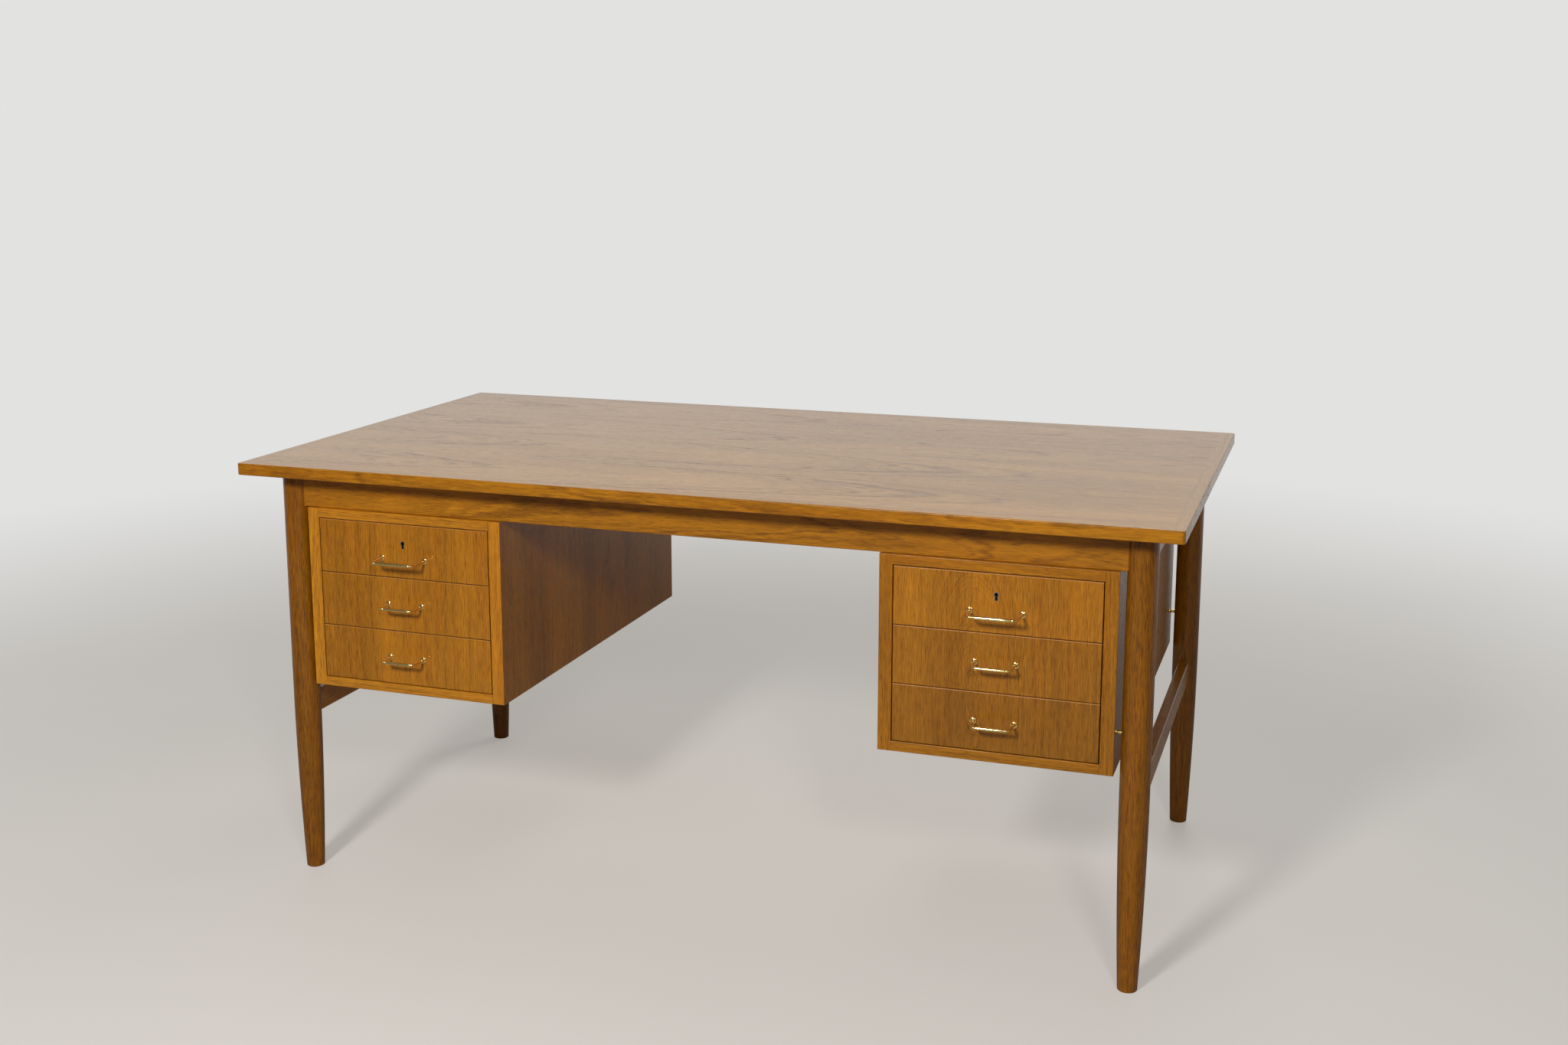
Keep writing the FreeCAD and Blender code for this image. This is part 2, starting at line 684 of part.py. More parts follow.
def lock(side, middle):
    """A drawer lock with its bolt and the metal liner of its keyhole. Gives the spaces cut for them."""
    front_top = f"({front_bottom('top')} + {FRONT_HEIGHT})"
    hole = f"({front_bottom('top')} + keyhole_rise)"
    case = block(
        f"{side}_lock_box",
        (f"{middle} - lock_width/2", LOCK_FRONT, f"{front_top} - lock_height"),
        ("lock_width", "lock_depth", "lock_height"),
    )
    inside = f"({LOCK_FRONT} + lock_wall)"
    room_depth = "(lock_depth - 2*lock_wall)"
    bolt_depth = f"({room_depth} - 2*bolt_clearance)"
    bolt_bottom = f"({front_top} - bolt_sink - bolt_length)"
    bolt = block(
        f"{side}_bolt_bar",
        (f"{middle} - bolt_width/2", f"{inside} + bolt_clearance", bolt_bottom),
        ("bolt_width", bolt_depth, "bolt_length"),
    )
    channel = block(
        f"{side}_bolt_channel",
        (f"{middle} - bolt_width/2 - bolt_clearance", inside, f"{bolt_bottom} - bolt_clearance"),
        ("bolt_width + 2*bolt_clearance", room_depth, "bolt_length + bolt_clearance + overrun"),
    )
    key_room = rod(f"{side}_key_room", (middle, inside, hole), "key_room", room_depth, "0", "-90")
    window = keyhole(
        f"{side}_key_window", middle, hole, "0", f"({LOCK_FRONT} - overrun)", "(overrun + 2*lock_wall)"
    )
    pin_foot = (middle, f"{inside} + lock_wall", hole)
    pin = rod(f"{side}_key_pin", pin_foot, "key_pin", f"{room_depth} - lock_wall", "0", "-90")
    shell = cut(f"{side}_lock_shell", case, channel, key_room, window)
    finish(fuse(f"{side}_lock_case", shell, pin), f"{side}_lock_case")
    finish(bolt, f"{side}_lock_bolt")
    depth = "(front_thickness - lock_depth)"
    outside = keyhole(f"{side}_liner_outside", middle, hole, "liner_wall", PEDESTAL_FRONT, depth)
    bore = keyhole(
        f"{side}_liner_bore", middle, hole, "0", f"({PEDESTAL_FRONT} - overrun)", f"({depth} + 2*overrun)"
    )
    finish(cut(f"{side}_keyhole_liner", outside, bore), f"{side}_keyhole_liner")
    strike = block(
        f"{side}_strike",
        (
            f"{middle} - bolt_width/2 - strike_clearance",
            f"{inside} + bolt_clearance - strike_clearance",
            f"{RAIL_BOTTOM} - shelf_thickness - overrun",
        ),
        (
            "bolt_width + 2*strike_clearance",
            f"{bolt_depth} + 2*strike_clearance",
            "overrun + bolt_travel + strike_clearance",
        ),
    )
    return case, outside, strike


def drawer(side, tier, lock_tools):
    """One drawer: front, two grooved sides, back, bottom and handle."""
    name = f"{side}_{tier}_drawer"
    middle = f"({SIDE_SHARES[side]}*{PEDESTAL_MIDDLE})"
    low = front_bottom(tier)
    board_low = f"({low} + drawer_board_rise)"
    floor = f"({board_low} + bottom_rise)"
    bottom = block(
        f"{name}_floor",
        (f"{middle} - {DRAWER_INSIDE_HALF} - bottom_groove", f"{FRONT_BACK_FACE} - bottom_groove", floor),
        (
            f"2*({DRAWER_INSIDE_HALF} + bottom_groove)",
            f"{DRAWER_REAR} - {FRONT_BACK_FACE} + bottom_groove",
            "bottom_thickness",
        ),
    )
    finish(bottom, f"{name}_bottom")
    kind = "top" if tier == "top" else "low"
    rise = "top_handle_rise" if tier == "top" else f"{FRONT_HEIGHT}/2"
    screws = handle(f"{name}_handle", middle, f"({low} + {rise})", kind)
    panel = board(
        f"{name}_panel",
        (f"{middle} - {DRAWER_HALF}", PEDESTAL_FRONT, low),
        (f"2*{DRAWER_HALF}", "front_thickness", FRONT_HEIGHT),
        (("front_rounding", lambda x, y, z: y == 0),),
    )
    finish(cut(f"{name}_front", panel, bottom, *screws, *lock_tools), f"{name}_front")
    sides = []
    groove_low = f"({runner_top(tier)} - runner_height - runner_under_gap)"
    groove_height = "(runner_height + runner_under_gap + runner_rest_gap)"
    groove_depth = "(runner_grip + runner_depth_gap)"
    length = f"({DRAWER_REAR} - {FRONT_BACK_FACE})"
    for hand, outer, groove in (
        ("left", f"-{DRAWER_HALF}", f"-{DRAWER_HALF} - overrun"),
        ("right", DRAWER_INSIDE_HALF, f"{DRAWER_HALF} - {groove_depth}"),
    ):
        plank = block(
            f"{name}_{hand}_plank",
            (f"{middle} + {outer}", FRONT_BACK_FACE, board_low),
            ("drawer_board", length, "drawer_board_height"),
        )
        slot = block(
            f"{name}_{hand}_groove",
            (f"{middle} + {groove}", GROOVE_FRONT, groove_low),
            (f"{groove_depth} + overrun", f"{length} - groove_stop + overrun", groove_height),
        )
        sides.append(cut(f"{name}_{hand}_side", plank, slot, bottom))
    group(f"{name}_sides", *sides)
    back = block(
        f"{name}_back_board",
        (f"{middle} - {DRAWER_INSIDE_HALF}", f"{DRAWER_REAR} - drawer_board", f"{floor} + bottom_thickness"),
        (
            f"2*{DRAWER_INSIDE_HALF}",
            "drawer_board",
            "drawer_board_height - bottom_rise - bottom_thickness - drawer_back_drop",
        ),
    )
    finish(back, f"{name}_back")


def build():
    """Makes every piece of the desk."""
    table_top()
    hangers = hanger_screws()
    rail = rails(hangers)
    stretcher = stretchers()
    spacer = spacers()
    legs(rail, stretcher, spacer)
    top_blocks()
    drawer_runners()
    for side, sign in SIDE_SHARES.items():
        *lock_tools, strike = lock(side, f"({sign}*{PEDESTAL_MIDDLE})")
        pedestal(side, spacer, hangers, strike)
        for tier in TIERS:
            drawer(side, tier, lock_tools if tier == "top" else ())


def write():
    """Checks every object and writes one file for each finished piece."""
    doc.recompute()
    for thing in doc.Objects:
        if {"Invalid", "Error"} & set(thing.State):
            raise RuntimeError(f"{thing.Label} failed: {thing.State}")
    for piece in pieces:
        if piece.Shape.isNull() or not piece.Shape.isValid() or not piece.Shape.Solids:
            raise RuntimeError(f"{piece.Label} has no sound solid")
    os.makedirs("parts", exist_ok=True)
    for piece in pieces:
        piece.Shape.exportStep(f"parts/{piece.Label}.step")
    print(len(pieces), "pieces written")


build()
write()
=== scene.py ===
"""Oak executive desk: finishes, turned brass pulls, studio light and camera. Lengths are in metres."""
import bpy
import math
from mathutils import Matrix, Vector


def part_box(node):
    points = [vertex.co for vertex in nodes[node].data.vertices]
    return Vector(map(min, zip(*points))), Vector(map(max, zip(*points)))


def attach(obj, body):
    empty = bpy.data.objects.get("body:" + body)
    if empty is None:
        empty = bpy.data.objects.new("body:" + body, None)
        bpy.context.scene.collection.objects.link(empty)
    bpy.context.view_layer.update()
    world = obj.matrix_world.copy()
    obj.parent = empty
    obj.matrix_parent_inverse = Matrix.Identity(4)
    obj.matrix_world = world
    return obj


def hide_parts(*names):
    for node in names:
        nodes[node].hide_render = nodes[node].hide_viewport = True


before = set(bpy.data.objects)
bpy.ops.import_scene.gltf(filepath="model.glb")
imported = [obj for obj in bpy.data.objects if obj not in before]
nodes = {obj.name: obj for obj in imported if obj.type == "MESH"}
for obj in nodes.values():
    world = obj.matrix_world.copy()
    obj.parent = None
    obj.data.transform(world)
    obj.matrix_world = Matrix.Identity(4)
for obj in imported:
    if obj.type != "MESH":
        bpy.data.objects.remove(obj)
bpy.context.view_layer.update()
scene = bpy.context.scene
scene.view_settings.view_transform = "Standard"

MM = 0.001
SIDES = {"left": -1, "right": 1}
TIERS = ("top", "middle", "bottom")

# Sockets of the Mix node by number, because vectors and colours share their names there
MIX_FACTOR = 0
MIX_VECTOR_A, MIX_VECTOR_B, MIX_VECTOR_OUT = 4, 5, 1
MIX_COLOR_A, MIX_COLOR_B, MIX_COLOR_OUT = 6, 7, 2


class Bench:
    """Adds nodes to one tree and joins them."""

    def __init__(self, tree):
        self.tree = tree

    def feed(self, socket, value):
        if isinstance(value, bpy.types.NodeSocket):
            self.tree.links.new(value, socket)
        else:
            socket.default_value = value

    def add(self, kind, inputs=None, **settings):
        node = self.tree.nodes.new(kind)
        for name, value in settings.items():
            setattr(node, name, value)
        for name, value in (inputs or {}).items():
            self.feed(node.inputs[name], value)
        return node

    def math(self, operation, *values, clamp=False):
        node = self.add("ShaderNodeMath", operation=operation, use_clamp=clamp)
        for socket, value in zip(node.inputs, values):
            self.feed(socket, value)
        return node.outputs[0]

    def scaled(self, vector, scale):
        node = self.add("ShaderNodeVectorMath", {0: vector, 1: scale}, operation="MULTIPLY")
        return node.outputs[0]

    def moved(self, vector, offset):
        node = self.add("ShaderNodeVectorMath", {0: vector, 1: offset}, operation="ADD")
        return node.outputs[0]

    def noise(self, vector, scale, detail=2.0, roughness=0.5):
        place = self.scaled(vector, scale)
        inputs = {"Vector": place, "Scale": 1.0, "Detail": detail, "Roughness": roughness}
        return self.add("ShaderNodeTexNoise", inputs).outputs[0]

    def wave(self, vector, scale, detail=2.0, roughness=0.5):
        """Noise that swings about zero."""
        return self.math("SUBTRACT", self.noise(vector, scale, detail, roughness), 0.5)

    def remap(self, value, low, high, start=0.0, end=1.0):
        inputs = {"Value": value, "From Min": low, "From Max": high, "To Min": start, "To Max": end}
        return self.add("ShaderNodeMapRange", inputs, interpolation_type="SMOOTHSTEP").outputs[0]

    def mix(self, factor, first, second, blend="MIX"):
        inputs = {MIX_FACTOR: factor, MIX_COLOR_A: first, MIX_COLOR_B: second}
        node = self.add("ShaderNodeMix", inputs, data_type="RGBA", blend_type=blend)
        return node.outputs[MIX_COLOR_OUT]

    def tinted(self, factor, color, tint):
        """A colour multiplied by a tint, as far as the factor says."""
        return self.mix(factor, color, tint, "MULTIPLY")

    def either(self, factor, first, second):
        """One of two vectors: the second where the factor is one."""
        inputs = {MIX_FACTOR: factor, MIX_VECTOR_A: first, MIX_VECTOR_B: second}
        return self.add("ShaderNodeMix", inputs, data_type="VECTOR").outputs[MIX_VECTOR_OUT]

    def split(self, vector):
        return self.add("ShaderNodeSeparateXYZ", {0: vector}).outputs

    def join(self, *values):
        return self.add("ShaderNodeCombineXYZ", dict(enumerate(values))).outputs[0]

    def spot(self):
        """The place on the piece, in its own coordinates."""
        return self.add("ShaderNodeTexCoord").outputs["Object"]

    def tube(self, path, radius, resolution):
        """A round bar along a path, with its ends closed."""
        ring = self.add("GeometryNodeCurvePrimitiveCircle", {"Resolution": resolution, "Radius": 1.0})
        inputs = {"Curve": path, "Profile Curve": ring.outputs[0], "Scale": radius, "Fill Caps": True}
        return self.add("GeometryNodeCurveToMesh", inputs).outputs[0]


def linear(value):
    """An eight-bit screen value as the linear share a shader takes, by the sRGB formula."""
    share = value / 255
    return share / 12.92 if value <= 10 else ((share + 0.055) / 1.055) ** 2.4


def srgb(red, green, blue):
    """A colour given as eight-bit screen values."""
    return (linear(red), linear(green), linear(blue), 1.0)


# Patterns in the oak: how often each repeats in a metre along, across and into the grain
BEND_SCALE = (1.1, 5.0, 5.0)
SWAY_SCALE = (2.2, 9.0, 9.0)
RIPPLE_SCALE = (9.0, 52.0, 52.0)
FIBRE_SCALE = (34.0, 680.0, 680.0)
STREAK_SCALE = (7.0, 170.0, 170.0)
BROAD_SCALE = (1.5, 14.0, 14.0)
PORE_SCALE = (60.0, 840.0, 840.0)
RAY_SCALE = (46.0, 420.0, 420.0)
WARM_SCALE = (2.4, 26.0, 26.0)

# Shifts that keep patterns of a like size from falling on each other
SWAY_SHIFT = (3.7, 1.9, 5.3)
RIPPLE_SHIFT = (1.3, 7.9, 2.6)
RAY_SHIFT = (9.1, 2.2, 4.4)
WARM_SHIFT = (5.5, 8.1, 0.7)

# How far the rings are pushed out of round
BEND_PUSH, SWAY_PUSH, RIPPLE_PUSH = 0.06, 0.016, 0.0075

# A year's ring: how the years vary, where the late wood darkens and ends, and how faint a weak year is
YEAR_SCALE, YEAR_SWING = 0.31, 2.4
LATE_START, LATE_FULL = 0.2, 0.8
LATE_FADE, YEAR_END = 0.84, 1.0
WEAK_YEAR, STRONG_YEAR, WEAK_RING = 0.35, 0.65, 0.2

# The tone between light and dark wood: its middle, and the weights of the patterns in it
TONE_MIDDLE = 0.36
FIBRE_WEIGHT, STREAK_WEIGHT, BROAD_WEIGHT = 1.25, 0.4, 0.55
FIBRE_DETAIL, FIBRE_ROUGHNESS = 3.0, 0.75

# Pores and rays: the noise levels at which they start and are full, and their depth
PORE_START, PORE_FULL, PORE_BETWEEN_RINGS = 0.55, 0.64, 0.5
RAY_START, RAY_FULL, RAY_DEPTH = 0.67, 0.75, 0.55
PIT_TINT = (0.5, 0.4, 0.3, 1.0)

# Warmer patches in the wood
WARM_START, WARM_FULL, WARM_SHARE = 0.42, 0.7, 0.5
WARM_TINT = (1.05, 0.92, 0.75, 1.0)


def oak_figure():
    """The figure of sawn oak: growth rings round a leaning heart, fibre, open pores and rays."""
    tree = bpy.data.node_groups.new("oak figure", "ShaderNodeTree")
    face = tree.interface
    face.new_socket("Place", in_out="INPUT", socket_type="NodeSocketVector")
    for name in ("Light", "Dark"):
        face.new_socket(name, in_out="INPUT", socket_type="NodeSocketColor")
    for name in ("Ring", "Heart", "Lean", "Contrast", "Pores"):
        face.new_socket(name, in_out="INPUT", socket_type="NodeSocketFloat")
    face.new_socket("Color", in_out="OUTPUT", socket_type="NodeSocketColor")
    face.new_socket("Grain", in_out="OUTPUT", socket_type="NodeSocketFloat")
    face.new_socket("Pit", in_out="OUTPUT", socket_type="NodeSocketFloat")
    kit = Bench(tree)
    given = kit.add("NodeGroupInput").outputs
    place = given["Place"]
    along, across, deep = kit.split(place)

    bend = kit.wave(place, BEND_SCALE)
    sway = kit.wave(kit.moved(place, SWAY_SHIFT), SWAY_SCALE)
    ripple = kit.wave(kit.moved(place, RIPPLE_SHIFT), RIPPLE_SCALE)
    across = kit.math("MULTIPLY_ADD", bend, BEND_PUSH, across)
    deep = kit.math("ADD", deep, kit.math("MULTIPLY_ADD", along, given["Lean"], given["Heart"]))
    deep = kit.math("MULTIPLY_ADD", sway, SWAY_PUSH, deep)
    deep = kit.math("MULTIPLY_ADD", ripple, RIPPLE_PUSH, deep)
    radius = kit.math("SQRT", kit.math("MULTIPLY_ADD", across, across, kit.math("MULTIPLY", deep, deep)))

    years = kit.math("DIVIDE", radius, given["Ring"])
    inputs = {"W": years, "Scale": YEAR_SCALE}
    uneven = kit.add("ShaderNodeTexNoise", inputs, noise_dimensions="1D").outputs[0]
    phase = kit.math("FRACT", kit.math("MULTIPLY_ADD", uneven, YEAR_SWING, years))
    late = kit.remap(phase, LATE_START, LATE_FULL)
    early = kit.remap(phase, LATE_FADE, YEAR_END, 1.0, 0.0)
    strength = kit.remap(uneven, WEAK_YEAR, STRONG_YEAR, WEAK_RING, 1.0)
    ring = kit.math("MULTIPLY", kit.math("MULTIPLY", late, early), strength)

    fibre = kit.wave(place, FIBRE_SCALE, FIBRE_DETAIL, FIBRE_ROUGHNESS)
    streak = kit.wave(place, STREAK_SCALE)
    broad = kit.wave(place, BROAD_SCALE, detail=1.0)
    tone = kit.math("MULTIPLY", ring, given["Contrast"])
    for wave, weight in ((fibre, FIBRE_WEIGHT), (streak, STREAK_WEIGHT), (broad, BROAD_WEIGHT)):
        tone = kit.math("MULTIPLY_ADD", wave, weight, tone)
    tone = kit.math("ADD", tone, TONE_MIDDLE, clamp=True)

    pore = kit.remap(kit.noise(place, PORE_SCALE, detail=1.0), PORE_START, PORE_FULL)
    crowd = kit.math("MULTIPLY_ADD", ring, 1.0 - PORE_BETWEEN_RINGS, PORE_BETWEEN_RINGS)
    pore = kit.math("MULTIPLY", pore, crowd)
    ray = kit.noise(kit.moved(place, RAY_SHIFT), RAY_SCALE, detail=0.0)
    ray = kit.remap(ray, RAY_START, RAY_FULL)
    deepest = kit.math("MAXIMUM", pore, kit.math("MULTIPLY", ray, RAY_DEPTH))
    pit = kit.math("MULTIPLY", deepest, given["Pores"])

    wood = kit.mix(tone, given["Light"], given["Dark"])
    warm = kit.remap(kit.noise(kit.moved(place, WARM_SHIFT), WARM_SCALE), WARM_START, WARM_FULL)
    wood = kit.tinted(kit.math("MULTIPLY", warm, WARM_SHARE), wood, WARM_TINT)
    color = kit.tinted(pit, wood, PIT_TINT)
    kit.add("NodeGroupOutput", {"Color": color, "Grain": tone, "Pit": pit})
    return tree


OAK = oak_figure()

# Lacquer on the oak: sheen is its roughness, gloss the strength of its shine, relief that of the grain
WOOD_SHEEN, WOOD_GLOSS, WOOD_RELIEF = 0.24, 0.3, 0.12
TOP_SHEEN, TOP_GLOSS, TOP_RELIEF = 0.14, 0.5, 0.03
LIPPING_SHEEN, BLOCK_SHEEN, LINING_SHEEN = 0.2, 0.5, 0.45
LACQUER_IOR = 1.48
GRAIN_DULLS, PIT_DULLS = 0.08, 0.2
GRAIN_STANDS, PIT_DEPTH = 0.2, 0.0003

# Light and dark tones of the wood
RAIL_LIGHT, RAIL_DARK = srgb(196, 129, 26), srgb(92, 50, 5)
EDGE_LIGHT = {"left": srgb(214, 143, 36), "right": srgb(188, 122, 22)}
EDGE_DARK = {"left": srgb(122, 71, 10), "right": srgb(94, 52, 5)}
FRONT_LIGHT, FRONT_DARK = srgb(197, 128, 29), srgb(76, 39, 4)
# Multipliers of the front tones for the top, middle and bottom drawers: the right-hand fronts grow darker
# towards the bottom
FRONT_SHADES = {"left": (1.02, 1.0, 1.02), "right": (1.04, 0.84, 0.72)}
# Painted highlight: the pale tone of the thin band where the lamps catch the rounded upper arris of each
# drawer front
PAINTED_ARRIS_HIGHLIGHT = srgb(192, 136, 82)
LEG_LIGHT, LEG_DARK = srgb(164, 102, 14), srgb(50, 25, 2)
TOP_LIGHT, TOP_DARK = srgb(240, 180, 84), srgb(134, 84, 30)
LINING_LIGHT, LINING_DARK = srgb(214, 172, 118), srgb(170, 122, 72)

# How boards are cut: width of a ring, depth of the heart, its lean, and strength of rings and pores
PLAIN_CUT = {"Ring": 0.0028, "Heart": 0.06, "Lean": 0.03, "Contrast": 0.22, "Pores": 0.7}
RAIL_CUT = {**PLAIN_CUT, "Heart": 0.05, "Lean": 0.02, "Contrast": 0.3}
LIPPING_CUT = {**PLAIN_CUT, "Heart": 0.05, "Lean": 0.02, "Contrast": 0.25}
CARCASS_CUT = {**PLAIN_CUT, "Heart": 0.08, "Contrast": 0.14}
SHELF_CUT = {**PLAIN_CUT, "Heart": 0.07}
LINING_CUT = {**PLAIN_CUT, "Contrast": 0.3}
PLY_CUT = {**LINING_CUT, "Ring": 0.012}
LEG_CUT = {"Ring": 0.0024, "Heart": 0.03, "Lean": 0.018, "Contrast": 0.18, "Pores": 1.0}
TOP_CUT = {"Ring": 0.0042, "Heart": 0.05, "Lean": 0.035, "Contrast": 0.3, "Pores": 0.8}
FRONT_CUTS = {
    "left": {"Ring": 0.0021, "Heart": 0.16, "Lean": 0.02, "Contrast": 0.18, "Pores": 0.7},
    "right": {"Ring": 0.0021, "Heart": 0.028, "Lean": 0.23, "Contrast": 0.15, "Pores": 0.7},
}

# Where boards lie in the log: along the grain, across the face and into the board
TOP_LOG = (0.3, 0.0, -0.73)
LIPPING_LOG = (4.3, -0.73, 0.2)
SIDE_RAILS_LOG = (5.1, -0.68, 0.4)
STRETCHERS_LOG = (7.7, -0.30, 0.9)
BLOCKS_LOG = (0.4, 0.2, 0.1)
LINING_LOG = (1.1, 0.4, 0.2)
DRAWER_BACK_LOG = (4.1, 0.3, 0.6)
DRAWER_BOTTOM_LOG = (6.1, 0.1, 0.5)
FRONT_LOG = {"left": (3.9, -0.34), "right": (-0.55, 0.035)}
RAIL_LOG_START, RAIL_LOG_STEP = 2.1, 1.3
LEG_LOG_STEP, LEG_LOG_ASIDE = 1.7, 0.004
CARCASS_LOG_START, CARCASS_LOG_ASIDE = 6.3, 0.05
SHELF_LOG_START, SHELF_LOG_ASIDE = 8.3, 0.02
PEDESTAL_LOG_DEPTH = 0.3

# Depths below an edge: the skin of the lipping painted in the top's tone as a painted reflection, the
# painted highlight on the drawer fronts, and the solid edge of the carcass
PAINTED_WASH_START, PAINTED_WASH_FULL = 0.6 * MM, 0.1 * MM
ARRIS_START, ARRIS_FULL = 0.9 * MM, 0.4 * MM
CARCASS_EDGE = 1.3 * MM

# Veneer of the top: the width of a leaf, whole leaves that keep the count above zero, and how far on in
# the log each pair of leaves is cut
LEAF = 0.2
LEAF_OFFSET = 10 * LEAF
PAIR_ALONG, PAIR_DEEP = 0.37, 0.021


def board_place(kit, order, shift):
    """Object coordinates in an order that starts with the grain, moved to their own bit of the log."""
    spot = kit.split(kit.spot())
    return kit.moved(kit.join(*(spot[axis] for axis in order)), shift)


def oak_surface(kit, place, light, dark, cut, sheen=WOOD_SHEEN, gloss=WOOD_GLOSS, relief=WOOD_RELIEF):
    """A lacquered oak surface from a place in the log."""
    given = {"Place": place, "Light": light, "Dark": dark, **cut}
    group = kit.add("ShaderNodeGroup", given, node_tree=OAK)
    color, grain, pit = (group.outputs[name] for name in ("Color", "Grain", "Pit"))
    rough = kit.math("MULTIPLY_ADD", pit, PIT_DULLS, kit.math("MULTIPLY_ADD", grain, GRAIN_DULLS, sheen))
    level = kit.math("SUBTRACT", kit.math("MULTIPLY", grain, GRAIN_STANDS), pit)
    bump = kit.add("ShaderNodeBump", {"Strength": relief, "Distance": PIT_DEPTH, "Height": level})
    inputs = {
        "Base Color": color,
        "Roughness": rough,
        "Normal": bump.outputs[0],
        "IOR": LACQUER_IOR,
        "Specular IOR Level": gloss,
    }
    return kit.add("ShaderNodeBsdfPrincipled", inputs)


def material(name):
    made = bpy.data.materials.new(name)
    made.use_nodes = True
    made.node_tree.nodes.clear()
    return made, Bench(made.node_tree)


def close(kit, surface):
    kit.add("ShaderNodeOutputMaterial", {"Surface": surface.outputs[0]})


def oak(name, order, shift, cut=PLAIN_CUT, light=RAIL_LIGHT, dark=RAIL_DARK, sheen=WOOD_SHEEN):
    """One oak finish. The order names the axes along the grain, across the face and into the board."""
    made, kit = material(name)
    place = board_place(kit, order, shift)
    close(kit, oak_surface(kit, place, light, dark, cut, sheen))
    return made


def lipping_oak():
    """Solid lipping whose grain follows the edge of the top on all four sides."""
    made, kit = material("oak lipping")
    spot = kit.split(kit.spot())
    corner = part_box("table_top")[1]
    at_end = kit.math("GREATER_THAN", kit.math("ABSOLUTE", spot[0]), corner.x)
    between = kit.math("LESS_THAN", kit.math("ABSOLUTE", spot[1]), corner.y)
    side = kit.math("MULTIPLY", at_end, between)
    long_way = kit.join(spot[0], spot[2], spot[1])
    short_way = kit.join(spot[1], spot[2], spot[0])
    place = kit.moved(kit.either(side, long_way, short_way), LIPPING_LOG)
    # Painted reflection: the upward face of the lipping takes the top's paler tones, as if washed by the
    # room like the top; its roughness and shine follow the top's too
    upper = kit.remap(spot[2], corner.z - PAINTED_WASH_START, corner.z - PAINTED_WASH_FULL)
    light = kit.mix(upper, RAIL_LIGHT, TOP_LIGHT)
    dark = kit.mix(upper, RAIL_DARK, TOP_DARK)
    sheen = kit.remap(upper, 0.0, 1.0, LIPPING_SHEEN, TOP_SHEEN)
    gloss = kit.remap(upper, 0.0, 1.0, WOOD_GLOSS, TOP_GLOSS)
    close(kit, oak_surface(kit, place, light, dark, LIPPING_CUT, sheen, gloss, TOP_RELIEF))
    return made


def carcass_oak(side, shift):
    """Veneered carcass boards with a solid front edge in another tone."""
    made, kit = material(f"oak {side} carcass")
    depth = kit.split(kit.spot())[1]
    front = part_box("left_inner_side")[0].y
    at_front = kit.math("LESS_THAN", depth, front + CARCASS_EDGE)
    light = kit.mix(at_front, FRONT_LIGHT, EDGE_LIGHT[side])
    dark = kit.mix(at_front, FRONT_DARK, EDGE_DARK[side])
    place = board_place(kit, "ZYX", shift)
    close(kit, oak_surface(kit, place, light, dark, CARCASS_CUT))
    return made


def front_oak(side, tier, shade):
    """Veneer of a drawer front, cut in one run down the pedestal, with a painted highlight along its upper
    edge.
    """
    made, kit = material(f"oak {side} {tier} front")
    low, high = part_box(f"{side}_{tier}_drawer_front")
    height = kit.split(kit.spot())[2]
    # Painted highlight: a thin band below the front's upper edge takes paler tones
    arris_highlight = kit.remap(height, high.z - ARRIS_START, high.z - ARRIS_FULL)
    light = kit.mix(arris_highlight, tuple(shade * part for part in FRONT_LIGHT), PAINTED_ARRIS_HIGHLIGHT)
    dark = kit.mix(arris_highlight, tuple(shade * part for part in FRONT_DARK), FRONT_LIGHT)
    middle = (low.x + high.x) / 2
    along, across = FRONT_LOG[side]
    place = board_place(kit, "ZXY", (along, across - middle, -low.y))
    close(kit, oak_surface(kit, place, light, dark, FRONT_CUTS[side]))
    return made


def leaved_top():
    """The veneer of the top: wide leaves laid side by side, each the mirror of the next."""
    made, kit = material("oak top veneer")
    along, across, deep = kit.split(kit.spot())
    across = kit.math("ADD", across, LEAF_OFFSET)
    count = kit.math("FLOOR", kit.math("DIVIDE", across, LEAF))
    fold = kit.math("PINGPONG", across, LEAF)
    pair = kit.math("FLOOR", kit.math("DIVIDE", count, 2.0))
    along = kit.math("MULTIPLY_ADD", pair, PAIR_ALONG, along)
    deep = kit.math("MULTIPLY_ADD", pair, PAIR_DEEP, deep)
    place = kit.moved(kit.join(along, kit.math("SUBTRACT", fold, LEAF / 2), deep), TOP_LOG)
    polish = (TOP_SHEEN, TOP_GLOSS, TOP_RELIEF)
    close(kit, oak_surface(kit, place, TOP_LIGHT, TOP_DARK, TOP_CUT, *polish))
    return made


# Metals: marks in a metre, tones where there are few and many marks, least roughness and how marks add
# to it, and the strength of the relief
RELIEF_DEPTH = 0.0001
SMEAR_SCALE, SCRATCH_SCALE = (60.0, 60.0, 60.0), (900.0, 2600.0, 900.0)
BRASS_CLEAN, BRASS_SMEARED = srgb(248, 222, 152), srgb(224, 184, 102)
BRASS_SHEEN, SMEAR_DULLS, SCRATCH_RELIEF = 0.11, 0.14, 0.08
LINE_SCALE, STAIN_SCALE = (400.0, 400.0, 5200.0), (90.0, 90.0, 90.0)
STEEL_CLEAN, STEEL_STAINED = srgb(178, 176, 170), srgb(122, 118, 110)
STEEL_SHEEN, LINE_DULLS, LINE_RELIEF = 0.22, 0.25, 0.15
MARK_DETAIL = 3.0


def metal_surface(kit, tint, rough, height, relief):
    bump = kit.add("ShaderNodeBump", {"Strength": relief, "Distance": RELIEF_DEPTH, "Height": height})
    inputs = {"Base Color": tint, "Metallic": 1.0, "Roughness": rough, "Normal": bump.outputs[0]}
    return kit.add("ShaderNodeBsdfPrincipled", inputs)


